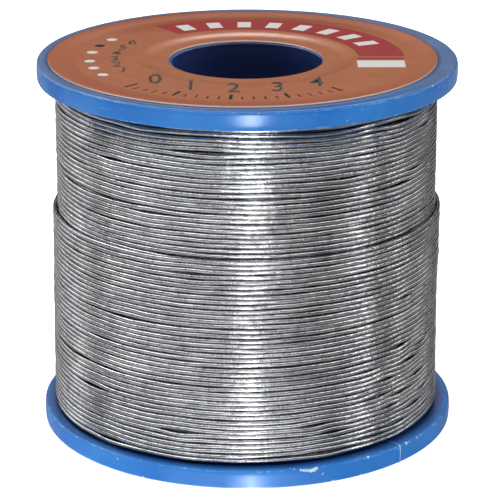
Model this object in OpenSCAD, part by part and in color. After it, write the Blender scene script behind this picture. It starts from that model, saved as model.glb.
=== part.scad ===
// Solder wire spool: a moulded plastic bobbin full of wound soft solder wire,
// with a printed paper label on its upper flange.
// Millimetres. The spool stands on its lower flange, Z runs up the bore.

/* [Bobbin] */
// Diameter of both flanges
flange_d = 46; // [36:0.5:80]
// Height over both flanges
spool_h = 41.3; // [30:0.1:80]
// Thickness of a flange at its rim
rim_t = 2.05; // [1.4:0.05:4]
// Rounding of the rim's two edges
rim_round = 0.25; // [0.1:0.05:0.6]
// Diameter of the bore that runs on a spindle
bore_d = 16.4; // [8:0.1:22]
// Chamfer at each end of the bore
bore_chamfer = 0.1; // [0.1:0.05:0.6]
// Wall of the hollow core
core_wall = 1.8; // [1:0.1:4]
// Fillet where the core meets a flange
root_round = 0.6; // [0.2:0.1:1]

/* [Flange faces] */
// Width of the flat land round each face, which the spool stands on
land_w = 1.9; // [1:0.1:4]
// Width of the gentle slope inside the land
dish_slope_w = 2.6; // [1:0.1:5]
// Drop of the face inside the land
dish_drop = 0.2; // [0.05:0.05:0.4]
// Width of the flat collar round the bore
collar_w = 1.9; // [1:0.1:4]
// Width of the slope that leads down to the collar
collar_slope_w = 1.9; // [1:0.1:3]
// Drop of the collar below the face
collar_drop = 0.25; // [0.05:0.05:0.4]

/* [Label] */
// Mean distance from the rim to the label's edge
label_inset = 1.75; // [1.4:0.05:4]
// Thickness of the paper
label_t = 0.15; // [0.1:0.01:0.3]
// Thickness of the glue under the paper
glue_t = 0.02; // [0.01:0.01:0.05]
// How far the label was stuck off centre, along X and along Y
label_shift = [-0.5, 0.05]; // [-0.8:0.01:0.8]
// Mean distance from the bore's chamfer to the label's hole
label_hole_gap = 0.15; // [0.1:0.05:0.5]
// How far the label's hole is off centre, along X and along Y
label_hole_shift = [-0.15, 0.1]; // [-0.2:0.01:0.2]

/* [Wire] */
// Distance from the rim in to the outside of the full winding
wire_below_rim = 1.5; // [1:0.1:5]
// Thickness of the last layer, which stops short of the upper flange
last_layer_t = 0.53; // [0.3:0.01:1]
// Height that the last layer leaves uncovered below the upper flange
last_layer_short = 14.2; // [4:0.1:20]
// Turns drawn in the outer layer
turns = 24; // [12:1:24]
// Clear gap between two drawn turns
turn_gap = 0.45; // [0.42:0.01:0.7]
// Bend radius at the wire's two ends, on its centre line
end_bend_r = 0.7; // [0.6:0.05:1.5]
// Turn of the spool in which the wire steps in to the smaller diameter
step_turn = 0.25; // [0.125:0.125:0.5]
// Angle at which the outer layer starts, counted from +X
start_angle = 90; // [0:5:355]
// Gap that keeps the wound wire off the core and the turns off what they lie on
seat_gap = 0.05; // [0.02:0.01:0.1]

/* [Hidden] */
$fn = 96;
arc_steps = 6;
slope_steps = 8;
tube_sides = 6;
rings_per_turn = 24;
bend_steps = 4;
overshoot = 1;

flange_r = flange_d / 2;
bore_r = bore_d / 2;
core_r = bore_r + core_wall;
half_h = spool_h / 2;
inner_low = rim_t;
inner_high = spool_h - rim_t;
inner_w = inner_high - inner_low;

land_r = flange_r - land_w;
collar_r = bore_r + collar_w + collar_slope_w;
face_start_r = bore_r + bore_chamfer;
face_end_r = flange_r - rim_round;

label_r = flange_r - label_inset;
label_hole_r = face_start_r + label_hole_gap;

// The pitch leaves room for a straight run and a bend at each end of the tube.
pitch = (inner_w + 2 * turn_gap - 2 * end_bend_r) / (turns + 2);
tube_d = pitch - turn_gap;
tube_r = tube_d / 2;
wind_r = flange_r - wire_below_rim;
path_r_low = wind_r - tube_r;
path_r_high = path_r_low - last_layer_t;
first_turn_z = inner_low + tube_d + end_bend_r;
last_turn_z = first_turn_z + turns * pitch;

// The drawn turns are polygons, so the layers below them stay inside their chords.
chord_scale = cos(180 / rings_per_turn);
packed_r_low = (path_r_low - tube_r) * chord_scale - seat_gap;
packed_r_high = (path_r_high - tube_r) * chord_scale - seat_gap;
packed_inner_r = core_r + seat_gap;
packed_step_z = inner_high - last_layer_short;

// A smooth step from 0 to 1 while t runs from 0 to 1
function ease(t) = (1 - cos(180 * min(1, max(0, t)))) / 2;

// How far a flange's outer face lies below its land, at radius r
function face_drop(r) =
    dish_drop * ease((land_r - r) / dish_slope_w)
    + collar_drop * ease((collar_r - r) / collar_slope_w);

// Radii at which the face's profile has a point, from r0 out to r1
function slope_radii(outer_r, width) =
    [for (i = [0:slope_steps]) outer_r - width * (1 - i / slope_steps)];
function face_radii(r0, r1) = concat(
    [r0],
    [for (r = slope_radii(collar_r, collar_slope_w)) if (r > r0 && r < r1) r],
    [for (r = slope_radii(land_r, dish_slope_w)) if (r > r0 && r < r1) r],
    [r1]);

function arc(centre, radius, from, to) =
    [for (i = [0:arc_steps]) let (a = from + (to - from) * i / arc_steps)
        centre + radius * [cos(a), sin(a)]];

function reversed(list) = [for (i = [len(list) - 1:-1:0]) list[i]];
function mirrored_z(points) = [for (p = points) [p.x, -p.y]];

// Upper half of the bobbin's section, as [radius, height above the middle]
upper_half = concat(
    arc([core_r + root_round, half_h - rim_t - root_round], root_round, 180, 90),
    arc([flange_r - rim_round, half_h - rim_t + rim_round], rim_round, -90, 0),
    arc([flange_r - rim_round, half_h - rim_round], rim_round, 0, 90),
    [for (r = reversed(face_radii(face_start_r, face_end_r))) if (r < face_end_r)
        [r, half_h - face_drop(r)]],
    [[bore_r, half_h - face_drop(bore_r) - bore_chamfer]]);

// One moulding: two flanges on a hollow core
module spool_body() {
    color("#3878c8")
        translate([0, 0, half_h])
            rotate_extrude()
                polygon(concat(upper_half, reversed(mirrored_z(upper_half))));
}

// A skin of even thickness that follows the upper face
module face_skin(low, high) {
    radii = face_radii(bore_r, face_end_r);
    rotate_extrude()
        polygon(concat(
            [for (r = radii) [r, spool_h - face_drop(r) + low]],
            [for (r = reversed(radii)) [r, spool_h - face_drop(r) + high]]));
}

// Printed paper disc, die-cut, glued on the upper flange and pressed into its dish
module top_label() {
    disc_z = spool_h - dish_drop - collar_drop - overshoot;
    disc_h = dish_drop + collar_drop + 2 * overshoot;
    color("#c8693f")
        difference() {
            intersection() {
                face_skin(glue_t, glue_t + label_t);
                translate([label_shift.x, label_shift.y, disc_z])
                    cylinder(r = label_r, h = disc_h);
            }
            translate([label_hole_shift.x, label_hole_shift.y, disc_z])
                cylinder(r = label_hole_r, h = disc_h);
        }
}

// All layers of wire below the outermost one, as one plain packed ring
module wire_inner_layers() {
    corner = root_round + seat_gap;
    color("#8d9196")
        rotate_extrude()
            polygon([
                [packed_inner_r + corner, inner_low],
                [packed_r_low, inner_low],
                [packed_r_low, packed_step_z],
                [packed_r_high, packed_step_z],
                [packed_r_high, inner_high],
                [packed_inner_r + corner, inner_high],
                [packed_inner_r, inner_high - corner],
                [packed_inner_r, inner_low + corner]]);
}

// Radius of the centre line at height z: it steps in once it is clear of the lower ring
step_start_z = packed_step_z + tube_r + seat_gap;
function path_r(z) =
    path_r_low - last_layer_t * ease((z - step_start_z) / (step_turn * pitch));

// A point of the centre line at angle a (degrees past the start) and height z
function on_drum(a, z) =
    [path_r(z) * cos(start_angle + a), path_r(z) * sin(start_angle + a), z];

// The angle that a length along the drum's surface covers
function surface_angle(length, r) = length / r * 180 / PI;

// Centre line: up from the lower flange, a quarter bend, the helix,
// a quarter bend and up to the upper flange
helix_angle = 360 * turns;
wire_path = concat(
    [on_drum(-surface_angle(end_bend_r, path_r_low), inner_low)],
    [for (i = [0:bend_steps - 1]) let (b = 90 * i / bend_steps)
        on_drum(
            -surface_angle(end_bend_r * cos(b), path_r_low),
            inner_low + tube_d + end_bend_r * sin(b))],
    [for (i = [0:turns * rings_per_turn])
        on_drum(i * 360 / rings_per_turn, first_turn_z + i * pitch / rings_per_turn)],
    [for (i = [1:bend_steps]) let (b = 90 * i / bend_steps)
        on_drum(
            helix_angle + surface_angle(end_bend_r * sin(b), path_r_high),
            last_turn_z + end_bend_r * (1 - cos(b)))],
    [on_drum(helix_angle + surface_angle(end_bend_r, path_r_high), inner_high)]);

function unit(v) = v / norm(v);
function path_direction(path, i) =
    unit(path[min(i + 1, len(path) - 1)] - path[max(i - 1, 0)]);

// Rings of a tube: at each point a polygon across the path, one corner facing outwards
function ring(path, i) =
    let (
        along = path_direction(path, i),
        outward = unit([path[i].x, path[i].y, 0]),
        across = unit(outward - (outward * along) * along),
        side = cross(along, across))
    [for (k = [0:tube_sides - 1]) let (a = 360 * k / tube_sides)
        path[i] + tube_r * (cos(a) * across + sin(a) * side)];

module tube(path) {
    count = len(path);
    points = [for (i = [0:count - 1]) each ring(path, i)];
    walls = [for (i = [0:count - 2], k = [0:tube_sides - 1])
        let (
            a = i * tube_sides + k,
            b = i * tube_sides + (k + 1) % tube_sides)
        each [[a, a + tube_sides, b + tube_sides], [a, b + tube_sides, b]]];
    first_cap = [for (k = [1:tube_sides - 2]) [0, k, k + 1]];
    last = (count - 1) * tube_sides;
    last_cap = [for (k = [1:tube_sides - 2]) [last, last + k + 1, last + k]];
    polyhedron(points = points, faces = concat(walls, first_cap, last_cap));
}

// Distance from a point to the segment from a to b
function segment_distance(p, a, b) =
    let (t = min(1, max(0, (p - a) * (b - a) / ((b - a) * (b - a)))))
    norm(p - a - t * (b - a));

// Least gap of the tube to itself, from each point to the segments that lie
// between half a turn and two turns further on
function least_gap(path) = min([
    for (i = [0:len(path) - 2 - rings_per_turn / 2])
        for (j = [i + rings_per_turn / 2:min(i + 2 * rings_per_turn, len(path) - 2)])
            segment_distance(path[i], path[j], path[j + 1])
    ]) - tube_d;

// Outer layer of wire: one unbroken helical tube
module wire_outer_layer() {
    color("#a9adb2")
        tube(wire_path);
}

echo(str("outer layer: ", turns, " turns, pitch ", pitch, " mm, tube ", tube_d,
    " mm, least gap to itself ", least_gap(wire_path), " mm"));

spool_body();
top_label();
wire_inner_layers();
wire_outer_layer();
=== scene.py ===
import math

import bmesh
import bpy
import numpy as np
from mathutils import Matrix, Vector


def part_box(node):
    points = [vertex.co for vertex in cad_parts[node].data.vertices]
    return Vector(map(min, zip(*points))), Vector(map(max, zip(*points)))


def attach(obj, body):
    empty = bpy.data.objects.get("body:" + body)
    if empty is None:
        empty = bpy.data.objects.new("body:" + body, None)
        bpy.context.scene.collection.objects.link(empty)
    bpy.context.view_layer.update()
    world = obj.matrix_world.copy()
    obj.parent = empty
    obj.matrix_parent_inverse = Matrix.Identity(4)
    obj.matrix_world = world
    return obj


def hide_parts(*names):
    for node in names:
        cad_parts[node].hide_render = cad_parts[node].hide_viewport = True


# A spool of fine solder wire: a moulded blue bobbin, the wire wound on it and its label.
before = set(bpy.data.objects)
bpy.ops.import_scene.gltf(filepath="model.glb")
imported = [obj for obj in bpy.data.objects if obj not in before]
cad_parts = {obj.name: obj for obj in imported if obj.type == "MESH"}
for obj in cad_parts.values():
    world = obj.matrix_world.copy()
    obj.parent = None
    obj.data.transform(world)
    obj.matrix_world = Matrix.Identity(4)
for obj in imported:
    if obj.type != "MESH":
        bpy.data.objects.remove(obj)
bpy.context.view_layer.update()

# ---------------------------------------------------------------- Camera
# A long lens looks down on the spool from the front, as over a bench. Sizes in this
# file are millimetres, with the spool standing on z = 0, and MM makes them metres.
MM = 0.001
CAMERA_PLACE = (0.3, -265.5, 108.3)
CAMERA_TILT = 18.59
SENSOR_W = 36.0
FOCAL_LENGTH = 179.9

lens = bpy.data.cameras.new("camera")
lens.sensor_width = SENSOR_W
lens.lens = FOCAL_LENGTH
camera = bpy.data.objects.new("camera", lens)
camera.location = [c * MM for c in CAMERA_PLACE]
camera.rotation_euler = (math.radians(90 - CAMERA_TILT), 0, 0)
bpy.context.scene.collection.objects.link(camera)
bpy.context.scene.camera = camera

# ---------------------------------------------------------------- Bobbin
# One injection moulding in glossy blue plastic: two flanges on a hollow core, in a tool
# that splits along the axis, so a fine parting line runs down both sides of it.
body_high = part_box("spool_body")[1]
FLANGE_R = body_high.x / MM
SPOOL_H = body_high.z / MM
HALF_H = SPOOL_H / 2
RIM_T = 2.05
RIM_ROUND = 0.25
RIM_CROWN = 0.07
BORE_R = 8.2
BORE_CHAMFER = 0.1
CORE_R = 10.0
ROOT_ROUND = 0.6
LAND_R = FLANGE_R - 1.9
DISH_SLOPE_W = 2.6
DISH_DROP = 0.15
COLLAR_R = 12.0
COLLAR_SLOPE_W = 1.9
COLLAR_DROP = 0.25
ARC_POINTS = 8
WALL_POINTS = 9
SLOPE_POINTS = 10
SUPPORT_INSET = 0.06
PARTING_AZIMUTH = -44.0
PARTING_H = 0.1
PARTING_W = 0.08
UPPER_RIDGE = 0.3
FINE_COLUMNS = 15
FINE_REACH = 3
BOBBIN_COLUMNS = 384
NICK_AZIMUTH = -73.5
NICK_W = 0.9
NICK_DEPTH = 0.26
LAND_FALL = 0.08
LAND_FALL_W = 3.8
LABEL_R = FLANGE_R - 1.75
LABEL_SHIFT = (-0.5, 0.05)

# Chips in the rims' corners: azimuth, height, radius
CHIPS = [
    (NICK_AZIMUTH - 2.0, RIM_T - 0.1, 0.2), (NICK_AZIMUTH - 1.3, RIM_T - 0.17, 0.2),
    (NICK_AZIMUTH - 0.6, RIM_T - 0.22, 0.23), (NICK_AZIMUTH + 0.1, RIM_T - 0.25, 0.22),
    (NICK_AZIMUTH + 0.8, RIM_T - 0.3, 0.24), (NICK_AZIMUTH + 1.5, RIM_T - 0.27, 0.22),
    (NICK_AZIMUTH + 2.2, RIM_T - 0.12, 0.24),
    (-41.0, RIM_T, 0.24), (-36.0, RIM_T, 0.18), (-55.5, RIM_T, 0.18), (-58.0, 0.1, 0.14),
    (-119.0, 0.1, 0.12), (-66.5, 0.1, 0.14),
    (-87.0, SPOOL_H, 0.14), (-32.0, SPOOL_H, 0.16), (-10.0, SPOOL_H, 0.14),
    (-96.5, RIM_T, 0.1), (-84.5, RIM_T, 0.1), (-113.0, RIM_T, 0.1)]

# Spans, low and high, over which a finish comes in or fades out
DUST_AND_SHEEN_RISE = (SPOOL_H - 0.5, SPOOL_H - 0.3)
DUST_AND_SHEEN_EDGE = (FLANGE_R - 0.25, FLANGE_R)
FRONT_SHADE_PAST_LABEL = (0.1, 1.2)
FRONT_SHADE_SPAN = (10, 18)
CORNER_SHADE_R = (21.7, 22.9)
CORNER_SHADE_H = (RIM_T - 0.1, RIM_T + 0.6)
LABEL_EDGE_SHADE_SPAN = (0.1, 0.55)
BORE_DARK_R = (8.6, 9)
BORE_DARK_BACK = (2, 8)


def grid_mesh(name, points, close_along=False, caps=False):
    """A mesh of quads from points[i, j], the i-th place along and the j-th place round.
    It closes round; faces look along (round x along). Caps are fans to a middle point."""
    rows, columns = points.shape[:2]
    index = np.arange(rows * columns).reshape(rows, columns)
    index = np.hstack([index, index[:, :1]])
    if close_along:
        index = np.vstack([index, index[:1]])
    faces = np.stack(
        [index[:-1, :-1], index[:-1, 1:], index[1:, 1:], index[1:, :-1]], -1
    ).reshape(-1, 4).tolist()
    vertices = points.reshape(-1, 3)
    if caps:
        ends = np.array([points[0].mean(0), points[-1].mean(0)])
        first, last = len(vertices), len(vertices) + 1
        vertices = np.vstack([vertices, ends])
        faces += [[first, b, a] for a, b in zip(index[0, :-1], index[0, 1:])]
        faces += [[last, a, b] for a, b in zip(index[-1, :-1], index[-1, 1:])]
    mesh = bpy.data.meshes.new(name)
    mesh.from_pydata((vertices * MM).tolist(), [], faces)
    mesh.polygons.foreach_set("use_smooth", np.ones(len(faces), bool))
    return mesh


def add_piece(name, mesh, material, slot, *nodes):
    """Puts a finished mesh into the scene, on the one body, in place of its CAD nodes."""
    piece = bpy.data.objects.new(name, mesh)
    bpy.context.scene.collection.objects.link(piece)
    mesh.materials.append(material)
    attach(piece, "root")
    if nodes:
        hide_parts(*nodes)


def ease(t):
    """Half a cosine wave, from 0 to 1 while t runs from 0 to 1."""
    return (1 - np.cos(np.pi * np.clip(t, 0, 1))) / 2


def face_drop(r):
    """How far a flange's outer face lies below its rim at radius r: three eased steps,
    a slight one across the land, the dish and the collar round the bore."""
    land = LAND_FALL * ease((FLANGE_R - RIM_ROUND - r) / LAND_FALL_W)
    dish = DISH_DROP * ease((LAND_R - r) / DISH_SLOPE_W)
    collar = COLLAR_DROP * ease((COLLAR_R - r) / COLLAR_SLOPE_W)
    return land + dish + collar


def section_arc(r, z, radius, start, end):
    """Points of an arc in the section's plane, from one angle to another in degrees."""
    a = np.radians(np.linspace(start, end, ARC_POINTS))
    return np.stack([r + radius * np.cos(a), z + radius * np.sin(a)], 1)


def supported(path, inset):
    """Adds a point near both ends of each long stretch, so that it shades flat."""
    step = np.diff(path, axis=0)
    length = np.linalg.norm(step, axis=1, keepdims=True)
    unit = step / length
    with_extra = np.stack([path[:-1], path[:-1] + unit * inset, path[1:] - unit * inset], 1)
    is_long = length[:, 0] > 4 * inset
    keep = np.stack([np.full(len(step), True), is_long, is_long], 1)
    return np.vstack([with_extra[keep], path[-1:]])


def face_radii(start, end):
    """Radii from start to end, with points over both slopes."""
    collar = COLLAR_R - np.linspace(COLLAR_SLOPE_W, 0, SLOPE_POINTS)
    dish = LAND_R - np.linspace(DISH_SLOPE_W, 0, SLOPE_POINTS)
    land = np.linspace(LAND_R, end, SLOPE_POINTS)[1:]
    return np.concatenate([[start], collar, dish, land])


def bobbin_section():
    """The closed section, as [radius, height above the middle], up one half and down the
    other: core fillet, inner face, crowned rim, outer face, bore edge, then its mirror."""
    rim_r = FLANGE_R - RIM_ROUND
    rim_mid = HALF_H - RIM_T / 2
    wall = np.linspace(-1, 1, WALL_POINTS + 2)[1:-1] * (RIM_T / 2 - RIM_ROUND)
    rim = np.vstack([
        section_arc(rim_r, HALF_H - RIM_T + RIM_ROUND, RIM_ROUND, -90, 0),
        np.stack([np.full(WALL_POINTS, FLANGE_R), rim_mid + wall], 1),
        section_arc(rim_r, HALF_H - RIM_ROUND, RIM_ROUND, 0, 90)])
    rim[:, 0] -= RIM_CROWN * ((rim[:, 1] - rim_mid) / (RIM_T / 2)) ** 2
    outer = face_radii(BORE_R + BORE_CHAMFER, rim_r)[::-1][1:]
    half = np.vstack([
        section_arc(CORE_R + ROOT_ROUND, HALF_H - RIM_T - ROOT_ROUND, ROOT_ROUND, 180, 90),
        rim,
        np.stack([outer, HALF_H - face_drop(outer)], 1),
        [[BORE_R, HALF_H - face_drop(BORE_R) - BORE_CHAMFER]],
    ])
    mirror = half[::-1] * [1, -1]
    return supported(np.vstack([half, mirror, half[:1]]), SUPPORT_INSET)[:-1]


def bobbin_points():
    """The section turned round the axis, r (cos a, sin a), and pushed along its normal:
    out by a fine ridge where the two halves of the tool met, in at a nick in the rim."""
    section = bobbin_section()
    along = np.roll(section, -1, 0) - np.roll(section, 1, 0)
    normal = np.stack([along[:, 1], -along[:, 0]], 1)
    normal /= np.linalg.norm(normal, axis=1, keepdims=True)
    fine = np.linspace(-FINE_REACH, FINE_REACH, FINE_COLUMNS) / FLANGE_R
    nick = np.radians(NICK_AZIMUTH)
    angles = np.concatenate([
        np.linspace(0, 2 * np.pi, BOBBIN_COLUMNS, endpoint=False),
        np.radians(PARTING_AZIMUTH) + fine * PARTING_W,
        np.radians(PARTING_AZIMUTH + 180) + fine * PARTING_W,
        nick + fine * NICK_W])
    angles = np.unique(np.round(np.mod(angles, 2 * np.pi), 5))
    across = np.sin(angles - np.radians(PARTING_AZIMUTH)) * FLANGE_R
    ridge = PARTING_H * np.exp(-(across / PARTING_W) ** 2)
    faces_inward = normal[:, 1] * np.sign(section[:, 1]) < 0.7
    by_sides = faces_inward * (section[:, 0] > CORE_R - SUPPORT_INSET)
    by_sides = by_sides * np.where(section[:, 1] > 0, UPPER_RIDGE, 1)
    past_nick = (np.mod(angles - nick + np.pi, 2 * np.pi) - np.pi) * FLANGE_R / NICK_W
    edge = np.array([FLANGE_R, RIM_T - HALF_H])
    near_edge = np.linalg.norm(section - edge, axis=1) / RIM_ROUND
    dent = np.exp(-near_edge[:, None] ** 2 - past_nick[None, :] ** 2)
    push = by_sides[:, None] * ridge[None, :] - NICK_DEPTH * dent
    r = section[:, :1] + normal[:, :1] * push
    z = section[:, 1:] + normal[:, 1:] * push + HALF_H
    return np.stack([r * np.cos(angles), r * np.sin(angles), z], 2)


def on_circle(azimuth, radius, height):
    """The point at an azimuth in degrees, a radius and a height: (r cos a, r sin a, h)."""
    a = math.radians(azimuth)
    return radius * math.cos(a), radius * math.sin(a), height


def paint(red, green, blue):
    """A colour given in screen values from 0 to 255, as the linear colour of a socket."""
    c = np.array([red, green, blue]) / 255
    linear = np.where(c <= 0.04045, c / 12.92, ((c + 0.055) / 1.055) ** 2.4)
    return (*linear.tolist(), 1.0)


BLUE = paint(30, 112, 196)
BLUE_PALE = paint(46, 128, 208)
BLUE_RUBBED_AND_SHEEN = paint(110, 175, 240)
SCRATCH = paint(140, 185, 235)
FLECK = paint(190, 215, 240)
SEAM = paint(200, 222, 240)
DUST_AND_SHEEN = paint(118, 110, 88)
FRONT_SHADE = paint(36, 60, 104)
CORNER_SHADE = paint(22, 34, 84)
CHIP = paint(212, 228, 234)
LABEL_EDGE_SHADE = paint(36, 43, 90)
BORE_SHADE_SIDES = paint(56, 72, 132)
BORE_SHADE_BACK = paint(31, 26, 54)


class Signal:
    """A value that varies over a surface. Arithmetic on it adds the Math nodes it needs."""

    def __init__(self, finish, socket):
        self.finish = finish
        self.socket = socket

    def math(self, operation, *others, clamp=False):
        """This value and others through one Math node."""
        node = self.finish.node(
            "ShaderNodeMath", {"operation": operation, "use_clamp": clamp},
            {i: s for i, s in enumerate((self, *others))})
        return Signal(self.finish, node.outputs[0])

    def __add__(self, other):
        return self.math("ADD", other)

    def __sub__(self, other):
        return self.math("SUBTRACT", other)

    def __rsub__(self, other):
        return (self * -1).math("ADD", other)

    def __mul__(self, other):
        return self.math("MULTIPLY", other)

    def __truediv__(self, other):
        return self.math("DIVIDE", other)

    __radd__ = __add__
    __rmul__ = __mul__

    def absolute(self):
        return self.math("ABSOLUTE")

    def hypotenuse(self, other):
        """The square root of this value's square plus another's."""
        return (self * self + other * other).math("SQRT")

    def limited(self):
        """The value kept between 0 and 1."""
        return self.math("ADD", 0.0, clamp=True)

    def repeated(self, step):
        """The distance, with its sign, from the nearest multiple of step."""
        return self.math("WRAP", step / 2, -step / 2)

    def either(self, other):
        """The larger of this and another value."""
        return self.math("MAXIMUM", other)

    def within(self, low, high, soft):
        """1 between low and high, falling to 0 over the width soft outside them."""
        return ((self - low) / soft + 1).limited() * ((high - self) / soft + 1).limited()

    def over(self, low, high):
        """0 up to low, rising evenly to 1 at high."""
        return ((self - low) / (high - low)).limited()


class Finish:
    """A material, or the world, in the making, on coordinates in millimetres."""

    def __init__(self, owner):
        self.owner = owner
        self.owner.use_nodes = True
        self.tree = owner.node_tree
        self.tree.nodes.clear()

    def node(self, kind, settings=None, inputs=None):
        """Any node: its settings are set first, then the values or links of its sockets."""
        made = self.tree.nodes.new(kind)
        for name, value in (settings or {}).items():
            setattr(made, name, value)
        for key, value in (inputs or {}).items():
            source = value.socket if isinstance(value, Signal) else value
            if isinstance(source, bpy.types.NodeSocket):
                self.tree.links.new(source, made.inputs[key])
            else:
                made.inputs[key].default_value = source
        return made

    def millimetres(self, offset=(0, 0, 0)):
        """Object coordinates in millimetres, with the origin moved to offset."""
        place = self.node("ShaderNodeTexCoord").outputs["Object"]
        scaled = self.node(
            "ShaderNodeMapping", {"vector_type": "POINT"},
            {"Vector": place, "Scale": (1 / MM,) * 3, "Location": [-c for c in offset]})
        return scaled.outputs[0]

    def parts(self, vector):
        """The three components of a vector, as signals."""
        split = self.node("ShaderNodeSeparateXYZ", inputs={0: vector})
        return [Signal(self, s) for s in split.outputs]

    def joined(self, x, y, z):
        """A vector from three signals or numbers."""
        return self.node("ShaderNodeCombineXYZ", inputs={0: x, 1: y, 2: z}).outputs[0]

    def distance(self, place, point):
        """How far a place is from a fixed point."""
        node = self.node(
            "ShaderNodeVectorMath", {"operation": "DISTANCE"}, {0: place, 1: point})
        return Signal(self, node.outputs["Value"])

    def noise(self, place, scale, detail=2.0, roughness=0.5):
        """Smooth noise between 0 and 1, with scale waves a millimetre."""
        made = self.node(
            "ShaderNodeTexNoise", {"noise_dimensions": "3D"},
            {"Vector": place, "Scale": scale, "Detail": detail, "Roughness": roughness})
        return Signal(self, made.outputs[0])

    def mixed(self, share, first, second):
        """The first colour, with the second laid over it by share."""
        blend = self.node(
            "ShaderNodeMix", {"data_type": "RGBA"}, {0: share, 6: first, 7: second})
        return blend.outputs[2]

    def bump(self, height, distance, strength=1.0):
        """A normal from a height between 0 and 1 that stands for distance millimetres."""
        return self.node(
            "ShaderNodeBump", inputs={
                "Height": height, "Distance": distance * MM, "Strength": strength}
        ).outputs[0]

    def finished(self, **inputs):
        """Ends the material with its one surface shader."""
        named = {name.replace("_", " "): value for name, value in inputs.items()}
        shader = self.node("ShaderNodeBsdfPrincipled", inputs=named)
        self.node("ShaderNodeOutputMaterial", inputs={"Surface": shader.outputs[0]})
        return self.owner


def blue_plastic():
    """Glossy dyed plastic: cloudy dye, corners whitened by wear and by a painted sheen,
    scratches, flecks and chips, a rubbed parting line, dust with a painted sheen on the upper
    land and a painted shade on it in front, and painted shade along the label's edge, next to
    the winding and in the bore."""
    finish = Finish(bpy.data.materials.new("blue_plastic"))
    place = finish.millimetres()
    x, y, z = finish.parts(place)
    r = x.hypotenuse(y)
    clouds = finish.noise(place, 0.16, 3)
    colour = finish.mixed(clouds.over(0.35, 0.7), BLUE, BLUE_PALE)
    from_mid = ((z - HALF_H).absolute() - (HALF_H - RIM_T / 2)).absolute()
    # Rim corners: lighter from wear, and from a painted sheen that stands in for light through
    # the plastic's edges.
    on_corner = r.over(FLANGE_R - RIM_ROUND, FLANGE_R - RIM_ROUND / 2) * from_mid.over(
        RIM_T / 2 - RIM_ROUND, RIM_T / 2 - RIM_ROUND / 2)
    rubbing = finish.noise(place, 0.8, 4, 0.7)
    worn_and_sheen = on_corner * rubbing.over(0.5, 0.66)
    colour = finish.mixed(worn_and_sheen * 0.55, colour, BLUE_RUBBED_AND_SHEEN)
    round_axis = y.math("ARCTAN2", x)
    streaks = finish.noise(finish.joined(round_axis * 9, r * 3, z * 7), 0.8, 4, 0.65)
    scratched = streaks.over(0.66, 0.74)
    flecks = finish.noise(place, 1.7, 2, 0.5).over(0.735, 0.76)
    colour = finish.mixed(scratched * 0.2, colour, SCRATCH)
    colour = finish.mixed(flecks * 0.6, colour, FLECK)

    seam = math.radians(PARTING_AZIMUTH)
    beside_seam = (y * math.cos(seam) - x * math.sin(seam)).absolute()
    on_seam = (1 - beside_seam.over(PARTING_W / 2, PARTING_W)) * (
        1 - z.over(HALF_H - 1, HALF_H + 1))
    on_seam = on_seam * (
        0.35 * r.over(CORE_R, CORE_R + SUPPORT_INSET) * z.over(RIM_T / 2, RIM_T)
        + 0.65 * r.over(FLANGE_R - 0.3, FLANGE_R))
    colour = finish.mixed(on_seam * rubbing.over(0.3, 0.45), colour, SEAM)

    from_label = (x - LABEL_SHIFT[0]).hypotenuse(y - LABEL_SHIFT[1]) - LABEL_R
    # Upper land: dust with a painted sheen over it, and in front of the label a painted shade,
    # darker than the clean plastic.
    dust_and_sheen = z.over(*DUST_AND_SHEEN_RISE) * (1 - r.over(*DUST_AND_SHEEN_EDGE))
    front_shade = from_label.over(*FRONT_SHADE_PAST_LABEL) * (-1 * y).over(*FRONT_SHADE_SPAN)
    colour = finish.mixed(dust_and_sheen * 0.5, colour, finish.mixed(front_shade, DUST_AND_SHEEN, FRONT_SHADE))
    # Painted shade on the lower flange's inner face, darkest next to the winding.
    shaded_corner = (1 - r.over(*CORNER_SHADE_R)) * z.within(*CORNER_SHADE_H, 0.05)
    colour = finish.mixed(shaded_corner * 0.85, colour, CORNER_SHADE)

    gritty = finish.noise(place, 5.0, 2).over(0.4, 0.55)
    for azimuth, height, radius in CHIPS:
        away = finish.distance(place, on_circle(azimuth, FLANGE_R, height))
        chipped = 1 - (away - 0.8 * radius * (rubbing + 0.6)).over(0, 0.08)
        colour = finish.mixed(chipped * (0.55 + 0.45 * gritty), colour, CHIP)

    # Painted shade along the label's edge, in the recess where it meets the land.
    label_edge_shade = (1 - from_label.over(*LABEL_EDGE_SHADE_SPAN)) * z.over(SPOOL_H - 1, SPOOL_H - 0.9)
    colour = finish.mixed(label_edge_shade * 0.7, colour, LABEL_EDGE_SHADE)
    # Painted shade in the bore, darkest on its back wall.
    shaded_bore = (1 - r.over(*BORE_DARK_R)) * (1 - 0.4 * r.over(BORE_R, BORE_R + 0.05))
    bore_shade = finish.mixed(y.over(*BORE_DARK_BACK), BORE_SHADE_SIDES, BORE_SHADE_BACK)
    colour = finish.mixed(shaded_bore * 0.92, colour, bore_shade)

    rough = 0.15 + 0.1 * clouds + 0.16 * worn_and_sheen + 0.2 * scratched
    fine = finish.noise(place, 3.5, 3)
    slow = finish.noise(place, 0.35, 2)
    unevenness = fine * 0.25 + slow * 0.75 - scratched * 0.1
    return finish.finished(
        Base_Color=colour, Roughness=rough, Normal=finish.bump(unevenness, 0.05, 0.35),
        Specular_IOR_Level=0.4)


add_piece(
    "bobbin", grid_mesh("bobbin", bobbin_points(), close_along=True), blue_plastic(),
    "spool_plastic", "spool_body")

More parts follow.
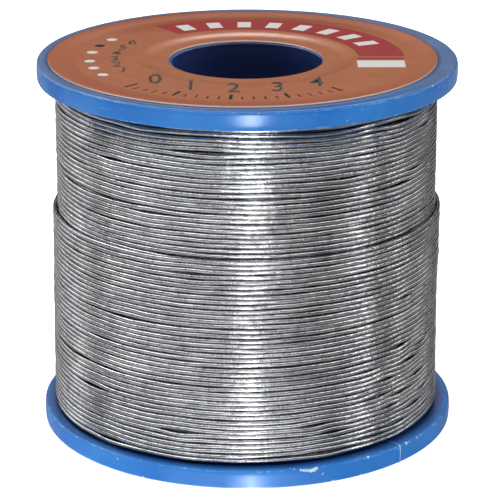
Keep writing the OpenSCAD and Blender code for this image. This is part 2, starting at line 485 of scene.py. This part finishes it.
# ---------------------------------------------------------------- Wound wire
# One length of soft 0.5 mm solder wire with a flux core, laid turn beside turn. Three
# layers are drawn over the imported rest; the last stops short and shows the one below it.
WIRE_D = 0.5
TURNS = 68
INNER_LOW = RIM_T
INNER_HIGH = SPOOL_H - RIM_T
LAST_LAYER_TOP = 25.2
LAYER_T = 0.53
BELOW_R = 20.73
TURN_STEPS = 216
DEEP_TURN_STEPS = 120
WIRE_SIDES = 10
DEEP_WIRE_SIDES = 6
TOUCHING = 1.003
SETTLE_PASSES = 500
START_AZIMUTH = 90
STEADY_END_TURNS = 2
LOOSE_FADE = 3.0
CLIMB = 0.35
LEAN_HIGH = 0.1
LEAN_LOW = 0.22
LEAN_CHANGE_Z = 14
LEAN_CHANGE_H = 8
SWELLING = 0.1
SWELLING_H = 6.0
COVERED_BELOW_TOP = 1.5
LAST_TURN_SHORT = 0.05
PACKED_COLUMNS = 180
PACKED_INSIDE_LAYER = 0.35
SEAT_GAP = 0.05

# Wandering of the turns, along the axis and outwards: size, waves a turn, count of waves
SWAY = [(0.03, (0.4, 3), 24), (0.025, (3, 9), 24), (0.012, (9, 36), 48)]
LIFT = [(0.014, (0.3, 5), 24), (0.011, (9, 36), 48)]

WIRE_BRIGHT = paint(200, 201, 203)
WIRE_DULL = paint(162, 163, 166)
WIRE_STAINED = paint(112, 112, 114)
FLUX = paint(120, 78, 30)


def swelling(height):
    """The winding bulges a little towards the lower flange."""
    return SWELLING * np.exp(-((height - INNER_LOW) / SWELLING_H) ** 2)


def lean(azimuth, height):
    """The winding stands a little off centre towards -X, more so in its lower half."""
    share = ease((height - LEAN_CHANGE_Z) / LEAN_CHANGE_H)
    return -np.cos(np.radians(azimuth)) * (LEAN_LOW * (1 - share) + LEAN_HIGH * share)


def wander(turn, rng, parts):
    """A sum of sine waves along the turns. Each part adds count of them, waves[0] to
    waves[1] a turn, which together stand size off the line on average."""
    total = 0
    for size, waves, count in parts:
        rate = rng.uniform(*waves, (count, 1))
        phase = rng.uniform(0, 2 * np.pi, (count, 1))
        sines = np.sin(2 * np.pi * rate * turn + phase).sum(0)
        total = total + size * np.sqrt(2 / count) * sines
    return total


def part_turns(height, turn, azimuth, way, pitch, places):
    """Opens a gap at each loose place (azimuth, height, half length in degrees, gap):
    turns above it move up and those below it down, less with each turn away from it."""
    for at, level, reach, gap in places:
        away = np.mod(azimuth - at + 180, 360) - 180
        own = turn - way * away / 360
        part = own[0] % 1
        split = np.floor((level - INNER_LOW - WIRE_D / 2) / pitch - part) + part + 0.5
        side = own - split
        fade = np.exp(-(away / reach) ** 2 - (np.abs(side) - 0.5) / LOOSE_FADE)
        height = height + gap / 2 * np.sign(side) * fade
    return height


def settle(height, steps):
    """Pushes apart turns that lie closer than a wire, half each way, until none do."""
    room = WIRE_D * TOUCHING
    low, high = INNER_LOW + WIRE_D / 2, INNER_HIGH - WIRE_D / 2
    for _ in range(SETTLE_PASSES):
        short = np.maximum(0, room - (height[steps:] - height[:-steps])) / 2
        height[steps:] += short
        height[:-steps] -= short
        height = np.clip(height, low, high)
    return height


def laid_turns(turns, way, radius, top, steps, seed, places=()):
    """Centre line of a layer, as azimuth in degrees, radius and height for each step:
    an even rise from the lower flange, plus wandering, loose places and settling."""
    rng = np.random.default_rng(seed)
    turn = np.arange(round(turns * steps) + 1) / steps
    azimuth = START_AZIMUTH + way * 360 * turn
    low = INNER_LOW + WIRE_D / 2
    pitch = (top - low) / turns
    ends = ease(turn / STEADY_END_TURNS) * ease((turns - turn) / STEADY_END_TURNS)
    height = low + pitch * turn + ends * wander(turn, rng, SWAY)
    height = settle(part_turns(height, turn, azimuth, way, pitch, places), steps)
    lift = wander(turn, rng, LIFT) + swelling(height) + lean(azimuth, height)
    return azimuth, radius + lift, height


def wire_mesh(name, azimuth, radius, height, sides):
    """A round wire swept along a line on a drum: at each point c, a ring
    c + d/2 (cos p outward + sin p side), side being square to the line and to outward.
    The attribute wire_place holds the length along the wire, cos p and sin p."""
    a = np.radians(azimuth)
    line = np.stack([radius * np.cos(a), radius * np.sin(a), height], 1)
    along = np.gradient(line, axis=0)
    along /= np.linalg.norm(along, axis=1, keepdims=True)
    outward = np.stack([np.cos(a), np.sin(a), np.zeros_like(a)], 1)
    side = np.cross(along, outward)
    side /= np.linalg.norm(side, axis=1, keepdims=True)
    outward = np.cross(side, along)
    p = 2 * np.pi * (np.arange(sides) + 0.5) / sides
    ring = np.cos(p)[None, :, None] * outward[:, None] + np.sin(p)[None, :, None] * side[:, None]
    mesh = grid_mesh(name, line[:, None] + WIRE_D / 2 * ring, caps=True)
    step = np.linalg.norm(np.diff(line, axis=0), axis=1)
    run = np.concatenate([[0], np.cumsum(step)])
    place = np.stack(np.broadcast_arrays(run[:, None], np.cos(p), np.sin(p)), 2).reshape(-1, 3)
    place = np.vstack([place, [[run[0], 0, 0], [run[-1], 0, 0]]])
    mesh.attributes.new("wire_place", "FLOAT_VECTOR", "POINT").data.foreach_set(
        "vector", place.astype(np.float32).ravel())
    return mesh


def solder():
    """Drawn tin-lead wire: bright metal with dull patches, shallow dents and faint draw
    lines along it, and the amber flux core where its end is cut."""
    finish = Finish(bpy.data.materials.new("solder"))
    wire_place = finish.node("ShaderNodeAttribute", {"attribute_name": "wire_place"})
    run, cos_p, sin_p = finish.parts(wire_place.outputs["Vector"])
    place = finish.millimetres()
    dull = finish.noise(place, 0.3, 4, 0.6).over(0.35, 0.7)
    specks = finish.noise(place, 1.6, 4, 0.7).over(0.5, 0.72)
    lines = finish.noise(finish.joined(run * 0.12, cos_p * 4, sin_p * 4), 1.5, 3, 0.6)
    colour = finish.mixed(dull, WIRE_BRIGHT, WIRE_DULL)
    stained = finish.noise(place, 0.22, 3, 0.6).over(0.56, 0.68)
    for azimuth, height, radius in STAINS:
        away = finish.distance(place, on_circle(azimuth, BELOW_R, height))
        stained = stained.either(1.3 - (away + radius * specks).over(0.3 * radius, 1.2 * radius))
    colour = finish.mixed(specks * 0.5 + stained * 0.4, colour, WIRE_STAINED)
    flux = 1 - cos_p.hypotenuse(sin_p).over(0.3, 0.4)
    colour = finish.mixed(flux, colour, FLUX)
    rough = 0.08 + 0.08 * dull + 0.08 * specks + 0.05 * lines
    dents = finish.noise(place, 1.0, 2)
    unevenness = lines * 0.5 + specks * 0.5 + dents * 3.5
    return finish.finished(
        Base_Color=colour, Metallic=1 - flux, Roughness=rough,
        Normal=finish.bump(unevenness, 0.035, 0.5))


# Loose places of the two layers that show: azimuth, height, half length, gap
UPPER_LOOSE = [
    (-122, 38.4, 6, 0.25), (-101, 36.1, 8, 0.4), (-67, 38.3, 12, 0.3), (-84, 31.5, 12, 0.12),
    (-38, 37.6, 9, 0.5), (-36, 39.9, 11, 1.3), (-28, 38.8, 8, 0.6), (-52, 35.4, 7, 0.2),
    (-63, 39.6, 9, 0.6), (-24, 36.2, 6, 0.3), (-33, 34.2, 5, 0.25), (-31, 32.0, 5, 0.25),
    (-119, 29.2, 5, 0.22), (-133, 34.0, 4, 0.2), (-40, 31.0, 6, 0.2), (-60, 33.2, 4, 0.15),
    (20, 35.0, 20, 0.3), (75, 37.5, 25, 0.35), (140, 33.0, 18, 0.25), (190, 37.0, 15, 0.3),
    (215, 30.0, 20, 0.2), (110, 28.5, 15, 0.2)]
LOWER_LOOSE = [
    (-110, 5.5, 6, 0.35), (-141, 8.3, 5, 0.25), (-71, 6.0, 5, 0.3), (-65, 4.8, 4, 0.25),
    (-67, 3.0, 6, 0.2), (-40, 12.6, 4, 0.3), (-34, 10.4, 5, 0.34), (-45, 9.6, 4, 0.26),
    (-29, 8.1, 5, 0.32), (-38, 7.2, 5, 0.28), (-24, 6.2, 5, 0.32), (-44, 6.4, 4, 0.3),
    (-49, 7.6, 4, 0.2), (-33, 4.9, 6, 0.34), (-41, 4.2, 5, 0.2), (-26, 11.6, 5, 0.22),
    (-54, 10.8, 4, 0.15), (-50, 3.6, 5, 0.2), (-134, 3.0, 5, 0.2), (-105, 23.2, 6, 0.2),
    (-97, 14.5, 8, 0.12), (-37, 18.0, 3, 0.25), (-125, 17.5, 4, 0.15), (30, 8.0, 20, 0.3),
    (70, 15.0, 15, 0.25), (120, 5.5, 20, 0.3), (150, 20.0, 15, 0.2), (200, 11.0, 20, 0.25)]

# Dull patches on the winding: azimuth, height, radius
STAINS = [
    (-44.0, 13.0, 2.4), (-33.0, 24.7, 2.2), (-64.5, 30.6, 3.2), (-40.0, 36.5, 3.4),
    (-65.0, 5.0, 2.4), (60.0, 20.0, 4.0), (150.0, 30.0, 3.0), (200.0, 9.0, 3.5)]

solder_finish = solder()

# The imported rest: a plain ring that reaches just into the third layer
packed_r = BELOW_R - 2 * LAYER_T + PACKED_INSIDE_LAYER * WIRE_D - LEAN_LOW
packed_inner_r = CORE_R + SEAT_GAP
packed_section = supported(np.array([
    [packed_r, INNER_LOW], [packed_r, INNER_HIGH],
    [packed_inner_r + ROOT_ROUND, INNER_HIGH], [packed_inner_r, INNER_HIGH - ROOT_ROUND],
    [packed_inner_r, INNER_LOW + ROOT_ROUND], [packed_inner_r + ROOT_ROUND, INNER_LOW],
    [packed_r, INNER_LOW]]), SUPPORT_INSET)[:-1]
packed_angles = np.linspace(0, 2 * np.pi, PACKED_COLUMNS, endpoint=False)
packed_points = np.stack([
    packed_section[:, :1] * np.cos(packed_angles),
    packed_section[:, :1] * np.sin(packed_angles),
    np.broadcast_to(packed_section[:, 1:], (len(packed_section), len(packed_angles)))], 2)
packed_mesh = grid_mesh("packed_layers", packed_points, close_along=True)
packed_mesh.attributes.new("wire_place", "FLOAT_VECTOR", "POINT").data.foreach_set(
    "vector", np.tile([0.0, 1.0, 0.0], packed_points.size // 3).astype(np.float32))
add_piece("packed_layers", packed_mesh, solder_finish, "solder_wire", "wire_inner_layers")

top = INNER_HIGH - WIRE_D / 2
third = laid_turns(TURNS, 1, BELOW_R - LAYER_T, top, DEEP_TURN_STEPS, 3)
add_piece(
    "third_layer", wire_mesh("third_layer", *third, DEEP_WIRE_SIDES), solder_finish,
    "solder_wire")

# The second layer runs back down, and climbs up from the third one at the upper flange.
# The part of it that the last layer covers has fewer faces.
below = laid_turns(TURNS, -1, BELOW_R, top, TURN_STEPS, 11, UPPER_LOOSE)
below[1][::-1] -= LAYER_T * (1 - ease(np.arange(len(below[1])) / TURN_STEPS / CLIMB))
covered_top = LAST_LAYER_TOP - COVERED_BELOW_TOP
split = round((covered_top - INNER_LOW) / (INNER_HIGH - INNER_LOW) * TURNS) * TURN_STEPS
hidden_part = [values[:split + 1:2] for values in below]
shown_part = [values[split:] for values in below]
add_piece(
    "second_layer_covered", wire_mesh("second_layer_covered", *hidden_part, DEEP_WIRE_SIDES),
    solder_finish, "solder_wire")
add_piece(
    "second_layer_shown", wire_mesh("second_layer_shown", *shown_part, WIRE_SIDES),
    solder_finish, "solder_wire")

# The last layer climbs up from the second one at the lower flange and stops halfway.
last_turns = round((LAST_LAYER_TOP - INNER_LOW) / (INNER_HIGH - INNER_LOW) * TURNS)
last = laid_turns(
    last_turns - LAST_TURN_SHORT, 1, BELOW_R + LAYER_T, LAST_LAYER_TOP - WIRE_D / 2,
    TURN_STEPS, 7, LOWER_LOOSE)
last[1][:] -= LAYER_T * (1 - ease(np.arange(len(last[1])) / TURN_STEPS / CLIMB))

# The free end leaves the last turn, slants up over the layer below and is cut off.
TAIL_LENGTH = 36.0
TAIL_RISE = 3.4
TAIL_LIFT = 0.25
TAIL_CURVE = 1.6
TAIL_STEPS = 60
tail = np.linspace(0, 1, TAIL_STEPS)[1:]
azimuth = np.concatenate([last[0], last[0][-1] + TAIL_LENGTH * tail])
radius = np.concatenate([last[1], last[1][-1] + TAIL_LIFT * ease(tail * 2 - 1)])
height = np.concatenate([last[2], last[2][-1] + TAIL_RISE * tail ** TAIL_CURVE])
add_piece(
    "last_layer", wire_mesh("last_layer", azimuth, radius, height, WIRE_SIDES),
    solder_finish, "solder_wire", "wire_outer_layer")

# ---------------------------------------------------------------- Label
# A die-cut disc of coated paper, printed in flat colours, glued slightly off centre on
# the upper flange and pressed down over its slopes; its cut edge shows white.
LABEL_HOLE_R = BORE_R + BORE_CHAMFER + 0.15
LABEL_HOLE_SHIFT = (-0.15, 0.1)
LABEL_T = 0.15
GLUE_T = 0.02
LABEL_ROWS = 56
LABEL_COLUMNS = 300
PRINT_INSET = 0.03
PRINT_SOFT = 0.05
CUT_EDGE_RISE = 0.8
MARGIN_R = 18.2
INK_T = 0.012
BOLDNESS = 0.008
DOT_R = 0.62
DIAL_R = 16.7
DIAL_AZIMUTH = 178
DIAL_STEP = 10.5
DIAL_COUNT = 6
DIAL_FIGURES_R = 14.0
DIAL_FIGURE_SIZE = 2.1
DIAL_FIGURE_STRETCH = 1.4
SCALE_R = 17.7
SCALE_AZIMUTH = -94
SCALE_STEP = 20.0
SCALE_COUNT = 5
SCALE_FIGURES_R = 13.3
SCALE_FIGURE_SIZE = 3.0
SCALE_FIGURE_STRETCH = 1.8
FINE_LINES = 5

# The red arc: middle azimuth, half angle, inner and outer radius. Its white bars: middle
# azimuth, step, count, half width, inner and outer radius. The white field and the red
# strip over it: middle, half width, half height.
RED_ARC = (63, 62, 12.7, 17.7)
ARC_BARS = (70, 13.0, 8, 0.8, 13.9, 16.4)
WHITE_FIELD = ((15.0, -3.0), 2.6, 1.5)
RED_STRIP = ((15.0, -0.6), 2.6, 0.4)

ORANGE_INK = paint(175, 112, 80)
ORANGE_INK_PALE = paint(163, 98, 70)
LABEL_BACK_SHADE = paint(145, 75, 46)
MARGIN_INK = paint(169, 100, 72)
RED_INK = paint(158, 60, 60)
WHITE_INK = paint(218, 217, 212)
DARK_INK = paint(48, 41, 39)
PAPER_SHINE = 0.12


def label_points():
    """Rings between the outer circle and the hole's, (1 - t) outer + t hole, up the outer
    edge, in over the top, down the hole and out underneath, at the face's height."""
    top = np.linspace(0, 1, LABEL_ROWS)
    inset = PRINT_INSET / (LABEL_R - LABEL_HOLE_R)
    share = np.concatenate([[0, 0], inset + top * (1 - 2 * inset), [1, 1], top[-2:0:-2]])
    edge = [0, CUT_EDGE_RISE]
    on_top = np.concatenate([edge, np.ones(LABEL_ROWS), edge[::-1], 0 * top[-2:0:-2]])
    a = np.linspace(0, 2 * np.pi, LABEL_COLUMNS, endpoint=False)
    unit = np.stack([np.cos(a), np.sin(a)], 1)
    outer = LABEL_SHIFT + LABEL_R * unit
    hole = LABEL_HOLE_SHIFT + LABEL_HOLE_R * unit
    flat = outer[None] * (1 - share)[:, None, None] + hole[None] * share[:, None, None]
    r = np.linalg.norm(flat, axis=2)
    z = SPOOL_H - face_drop(r) + GLUE_T + LABEL_T * on_top[:, None]
    printed = np.broadcast_to((on_top == 1)[:, None], r.shape)
    return np.concatenate([flat, z[..., None]], 2), printed.astype(np.float32)


def printed_paper():
    """Coated paper with a plain dial-like print: an orange ground with a darker margin,
    a red arc with white bars, white dots, a dark scale and a blank white field, and a painted
    shade on the ground towards the back."""
    finish = Finish(bpy.data.materials.new("printed_paper"))
    place = finish.millimetres((*LABEL_SHIFT, 0))
    x, y, _ = finish.parts(place)
    r = x.hypotenuse(y)
    angle = y.math("ARCTAN2", x) * math.degrees(1)

    def arc_mark(middle, half_angle, low, high):
        """1 inside a piece of a ring, round the azimuth middle."""
        away = (angle - middle).math("WRAP", 180, -180).absolute() * math.radians(1) * r
        reach = half_angle * math.radians(1) * r
        return ((reach - away) / PRINT_SOFT).limited() * r.within(low, high, PRINT_SOFT)

    def from_nearest(middle, step, count):
        """Degrees from the nearest of count places round middle, step degrees apart."""
        return (angle - middle + (step / 2 if count % 2 == 0 else 0)).repeated(step)

    def row(middle, step, count, half_width, low, high):
        """1 inside count marks of one width, step degrees apart on a ring."""
        across = from_nearest(middle, step, count).absolute() * math.radians(1) * r
        marks = ((half_width - across) / PRINT_SOFT).limited()
        return marks * arc_mark(middle, step * count / 2, low, high)

    def dots(middle, step, count, radius, size):
        """1 inside count round dots of radius size, on a circle."""
        across = from_nearest(middle, step, count) * math.radians(radius)
        away = across.hypotenuse(r - radius)
        inside = ((size - away) / PRINT_SOFT).limited()
        return inside * arc_mark(middle, step * count / 2, radius - size, radius + size)

    def field(middle, half_width, half_height):
        """1 inside an upright rectangle."""
        across = ((half_width - (x - middle[0]).absolute()) / PRINT_SOFT).limited()
        return across * ((half_height - (y - middle[1]).absolute()) / PRINT_SOFT).limited()

    mottle = finish.noise(place, 0.5, 4, 0.6).over(0.3, 0.75)
    colour = finish.mixed(mottle, ORANGE_INK, ORANGE_INK_PALE)
    margin = r.over(MARGIN_R, MARGIN_R + 0.2) * (1 - 0.7 * x.over(4, 16))
    colour = finish.mixed(margin, colour, MARGIN_INK)
    # Painted shade: the ground darker towards the back of the label.
    back_shade = y.over(9, 17) * r.over(LABEL_R - 8, LABEL_R - 4)
    colour = finish.mixed(back_shade * 0.8, colour, LABEL_BACK_SHADE)
    red = arc_mark(*RED_ARC).either(field(*RED_STRIP))
    colour = finish.mixed(red, colour, RED_INK)
    white = row(*ARC_BARS)
    white = white.either(dots(DIAL_AZIMUTH, DIAL_STEP, DIAL_COUNT, DIAL_R, DOT_R))
    white = white.either(field(*WHITE_FIELD))
    colour = finish.mixed(white, colour, WHITE_INK)
    fine_lines = FINE_LINES * (SCALE_COUNT - 1) + 1
    dark = row(SCALE_AZIMUTH, SCALE_STEP / FINE_LINES, fine_lines, 0.12, SCALE_R - 1, SCALE_R)
    dark = dark.either(row(SCALE_AZIMUTH, SCALE_STEP, SCALE_COUNT, 0.2, SCALE_R - 1.8, SCALE_R))
    dark = dark.either(dots(DIAL_AZIMUTH - 1.5 * DIAL_STEP, 360, 1, DIAL_R, DOT_R))
    colour = finish.mixed(dark, colour, DARK_INK)
    on_top = finish.node("ShaderNodeAttribute", {"attribute_name": "printed"}).outputs["Fac"]
    colour = finish.mixed(on_top, WHITE_INK, colour)
    grain = finish.noise(place, 9.0, 3, 0.6)
    rough = 0.13 + 0.05 * grain + 0.05 * mottle
    return finish.finished(
        Base_Color=colour, Roughness=rough, Normal=finish.bump(grain, 0.006, 0.5),
        Specular_IOR_Level=PAPER_SHINE)


def figure_mesh(places, size, stretch):
    """One mesh of narrow printed numbers, each [text, azimuth, radius from the label's
    middle], upright for a reader in front: outlines filled, a film of ink thick."""
    printed_z = SPOOL_H - LAND_FALL - DISH_DROP + GLUE_T + LABEL_T + INK_T / 4
    vertices, faces, start = [], [], 0
    for text, azimuth, radius in places:
        outline = bpy.data.curves.new("figure", "FONT")
        outline.body = text
        outline.size = size * MM
        outline.align_x = "CENTER"
        outline.align_y = "CENTER"
        outline.extrude = INK_T / 2 * MM
        outline.offset = BOLDNESS * size * MM
        figure = bpy.data.objects.new("figure", outline)
        flat = bpy.data.meshes.new_from_object(figure)
        corner = np.empty(len(flat.vertices) * 3)
        flat.vertices.foreach_get("co", corner)
        middle = np.array(on_circle(azimuth, radius, printed_z)) + (*LABEL_SHIFT, 0)
        vertices.append(corner.reshape(-1, 3) * (1, stretch, 1) + middle * MM)
        faces += [[start + v for v in polygon.vertices] for polygon in flat.polygons]
        start += len(flat.vertices)
        bpy.data.objects.remove(figure)
    mesh = bpy.data.meshes.new("figures")
    mesh.from_pydata(np.vstack(vertices).tolist(), [], faces)
    shape = bmesh.new()
    shape.from_mesh(mesh)
    bmesh.ops.remove_doubles(shape, verts=shape.verts, dist=INK_T / 10 * MM)
    bmesh.ops.recalc_face_normals(shape, faces=shape.faces)
    shape.to_mesh(mesh)
    shape.free()
    return mesh


def ink(name, colour):
    """A film of printing ink, slightly uneven, glossier than the paper."""
    finish = Finish(bpy.data.materials.new(name))
    patchy = finish.noise(finish.millimetres(), 2.0, 3)
    thin = tuple(0.75 * c + 0.25 * o for c, o in zip(colour, ORANGE_INK))
    return finish.finished(
        Base_Color=finish.mixed(patchy.over(0.55, 0.8), colour, thin),
        Roughness=0.25 + 0.15 * patchy, Specular_IOR_Level=PAPER_SHINE)


points, printed = label_points()
label_mesh = grid_mesh("label", points, close_along=True)
label_mesh.attributes.new("printed", "FLOAT", "POINT").data.foreach_set(
    "value", printed.ravel())
add_piece("label", label_mesh, printed_paper(), "label_paper", "top_label")

# Plain numbers: 0 to 4 at the scale's long lines, 1 to 6 beside the dots
dark_ink = ink("dark_ink", DARK_INK)
scale_figures = [
    (str(n), SCALE_AZIMUTH + SCALE_STEP * (n - (SCALE_COUNT - 1) / 2), SCALE_FIGURES_R)
    for n in range(SCALE_COUNT)]
add_piece(
    "scale_figures", figure_mesh(scale_figures, SCALE_FIGURE_SIZE, SCALE_FIGURE_STRETCH),
    dark_ink, "label_paper")
dial_figures = [
    (str(n + 1), DIAL_AZIMUTH - DIAL_STEP * (n - (DIAL_COUNT - 1) / 2), DIAL_FIGURES_R)
    for n in range(DIAL_COUNT)]
add_piece(
    "dial_figures", figure_mesh(dial_figures, DIAL_FIGURE_SIZE, DIAL_FIGURE_STRETCH),
    dark_ink, "label_paper")

# ---------------------------------------------------------------- Bench and light
# A pale bench top under white surroundings. In gloss there are a dim room, a low lamp in
# front, two tall ones on the right and a broad one behind; a lamp overhead lights the label
# and doesn't show. They are no part of the spool.
FLOOR_R = 1500.0
FLOOR_POINTS = 64
BENCH_WHITE = 0.86
BENCH_LIFT = 0.75

# The bench as it shows in gloss: how dim it is, where it is lit, and the wedge of glare,
# which runs forward from its apex. NEAR_ENDS and FAR_STARTS are distances ahead of that,
# and UNLIT_ON_RIGHT is x as a share of that distance.
BENCH_DIM = 0.3
BENCH_SHADE = 0.2
BENCH_GLOSS = 0.3
LIT_IN_FRONT = (10, 45)
LIT_ON_LEFT = (90, 120)
UNLIT_ON_RIGHT = (0.8, 2.2)
GLARE = 2.0
GLARE_NEAR = 15.0
GLARE_FAR = 30.0
GLARE_WIDE = 2.4
GLARE_APEX = 10.0
GLARE_SPREAD = 0.05
GLARE_ENDS_SPREAD = 0.2
GLARE_FAR_SPREAD = 0.8
GLARE_TURN = 0.03
NEAR_ENDS = (18, 20)
FAR_STARTS = (108, 114)

# The light that the bench throws up on the spool, from close by and mostly on the left
BENCH_GLOW = 0.02
BENCH_BOUNCE = 0.8
BOUNCE_FADES = (40, 100)
BOUNCE_ON_LEFT = (-35, 25)

# The room, by the height of the direction that a thing is seen in: 0 is level, 1 straight
# up. Bands are low, high and the softness of their edges.
ROOM_LIGHT = 0.1
WINDOW_LIGHT = 3.5
WINDOW_TOP = (0.06, 0.2)
EYE_LEVEL_GREY = 0.06
CEILING_GREY = 0.5
CEILING_STARTS = (0.5, 0.8)
CEILING_LAMPS = 3.6
CEILING_LAMPS_BAND = (0.62, 0.75, 0.06)
SIDE_LAMPS = 1.8
SIDE_LAMPS_BAND = (0.3, 0.5, 0.04)
SIDE_LAMPS_DEPTH = (0.36, 0.7, 0.1)
WALL_BEHIND_GREY = 0.5
WALL_BEHIND_BAND = (0.36, 0.45, 0.04)
LEFT_WALL_GREY = 1.6
LEFT_WALL_BAND = (0.1, 0.2, 0.06)

# Lamps: name, azimuth, elevation, distance, width, height, radiance, shows in gloss
LAMPS = [
    ("lamp_front", -87.8, 3, 250, 7, 60, 11.5, True),
    ("lamp_front_glow", -84.0, 3, 260, 64, 60, 1.4, True),
    ("lamp_right", -19, 14, 600, 32, 270, 14.0, True),
    ("lamp_far_right", 8, 14, 600, 30, 270, 10.0, True),
    ("lamp_behind", 90, 39, 600, 320, 130, 7.2, True),
    ("lamp_above", -90, 78, 600, 300, 300, 10.2, False)]
AIM = Vector((0, 0, HALF_H * MM))


def seen_directly(finish):
    """1 for what the camera sees straight, and 1 for what shows in gloss or glass."""
    rays = finish.node("ShaderNodeLightPath").outputs
    camera_ray, glossy_ray, through_ray = [
        Signal(finish, rays[name])
        for name in ("Is Camera Ray", "Is Glossy Ray", "Is Transmission Ray")]
    return camera_ray, glossy_ray.either(through_ray)


def soft_lamp(name, azimuth, elevation, distance, width, height, radiance, shows_in_gloss):
    """A rectangular lamp that faces the spool's middle, of one brightness all over."""
    lamp = bpy.data.lights.new(name, "AREA")
    lamp.shape = "RECTANGLE"
    lamp.size = width * MM
    lamp.size_y = height * MM
    lamp.energy = radiance * math.pi * width * height * MM ** 2
    placed = bpy.data.objects.new(name, lamp)
    e = math.radians(elevation)
    out = Vector(on_circle(azimuth, math.cos(e), math.sin(e)))
    placed.location = AIM + out * distance * MM
    placed.rotation_euler = (-out).to_track_quat("-Z", "Y").to_euler()
    placed.visible_camera = False
    placed.visible_glossy = shows_in_gloss
    bpy.context.scene.collection.objects.link(placed)


def bench_top():
    """A round floor, white to the camera, that keeps the spool's shadow. In gloss it is
    dim on the right and behind, with a wedge of glare in front, strongest at its two ends,
    and a wide patch of it close to the spool."""
    a = np.linspace(0, 2 * np.pi, FLOOR_POINTS, endpoint=False)
    rim = np.stack([FLOOR_R * np.cos(a), FLOOR_R * np.sin(a), 0 * a], 1)
    mesh = bpy.data.meshes.new("bench_top")
    mesh.from_pydata((rim * MM).tolist(), [], [list(range(len(a)))])
    finish = Finish(bpy.data.materials.new("bench_white"))
    straight, mirrored = seen_directly(finish)
    x, y, _ = finish.parts(finish.millimetres())
    ahead = -1 * y - GLARE_APEX
    in_front = ahead.over(0, 1)
    at_near = 1 - ahead.over(*NEAR_ENDS)
    at_far = ahead.over(*FAR_STARTS)
    spread = GLARE_SPREAD + GLARE_ENDS_SPREAD * (at_near + GLARE_FAR_SPREAD * at_far)
    off_middle = (x - GLARE_TURN * ahead).absolute() / (ahead * spread)
    wedge = (1 - off_middle.limited()) * in_front
    glare = wedge * wedge * (GLARE + GLARE_NEAR * at_near + GLARE_FAR * at_far)
    wide = at_near * in_front * (1 - (x.absolute() / ahead).limited())
    lit = (-0.55 * x - y).over(*LIT_IN_FRONT).either((-1 * x).over(*LIT_ON_LEFT))
    lit = lit * (1 - (x / ahead).within(*UNLIT_ON_RIGHT, 0.3))
    glare = glare + GLARE_WIDE * wide + BENCH_GLOSS * lit
    tone = BENCH_WHITE - mirrored * (BENCH_DIM + BENCH_SHADE * (1 - lit))
    near_spool = 1 - x.hypotenuse(y).over(*BOUNCE_FADES)
    bounce = BENCH_GLOW + BENCH_BOUNCE * near_spool * (-1 * x).over(*BOUNCE_ON_LEFT)
    lift = straight * BENCH_LIFT + mirrored * glare + (1 - straight.either(mirrored)) * bounce
    mesh.materials.append(finish.finished(
        Base_Color=finish.joined(tone, tone, tone), Roughness=0.9, Specular_IOR_Level=0.1,
        Emission_Color=finish.joined(lift, lift, lift), Emission_Strength=1.0))
    floor = bpy.data.objects.new("bench_top", mesh)
    bpy.context.scene.collection.objects.link(floor)


def surroundings():
    """White to the camera. In gloss, a room that is dark at eye level and dimmer on the
    right, with lamps overhead and at both sides behind, and paler walls behind and on the
    left. As light, a plain level with a low window in front on the left."""
    world = bpy.data.worlds.new("surroundings")
    bpy.context.scene.world = world
    finish = Finish(world)
    direction = finish.node("ShaderNodeTexCoord").outputs["Generated"]
    x, y, z = finish.parts(direction)
    straight, mirrored = seen_directly(finish)
    side = 1 + 0.4 * (-1 * x).over(0.1, 0.7) - 0.5 * x.over(-0.1, 0.4)
    overhead = z.within(*CEILING_LAMPS_BAND) * (-0.45 * x - y).over(-0.6, -0.2)
    beside = x.absolute().over(0.3, 0.45) * y.within(*SIDE_LAMPS_DEPTH)
    beside = beside * z.within(*SIDE_LAMPS_BAND)
    grey = EYE_LEVEL_GREY + (CEILING_GREY - EYE_LEVEL_GREY) * z.over(*CEILING_STARTS)
    lamps = CEILING_LAMPS * overhead + SIDE_LAMPS * beside
    wall_left = (-1 * x).over(0.35, 0.6) * y.over(0.2, 0.4) * z.within(*LEFT_WALL_BAND)
    room = side * grey + (0.6 + 0.4 * side) * lamps + LEFT_WALL_GREY * wall_left
    wall_behind = y.over(0.6, 0.9) * z.within(*WALL_BEHIND_BAND)
    in_gloss = room + (WALL_BEHIND_GREY - room) * wall_behind
    window = (-0.7 * x - 0.75 * y).over(0.2, 0.8) * (1 - z.over(*WINDOW_TOP))
    as_light = ROOM_LIGHT + WINDOW_LIGHT * window
    strength = as_light + mirrored * (in_gloss - as_light)
    background = finish.node("ShaderNodeBackground", inputs={
        "Color": (1, 1, 1, 1), "Strength": strength + straight * (1 - strength)})
    finish.node("ShaderNodeOutputWorld", inputs={"Surface": background.outputs[0]})


bench_top()
surroundings()
for lamp in LAMPS:
    soft_lamp(*lamp)
bpy.context.scene.view_settings.view_transform = "Standard"
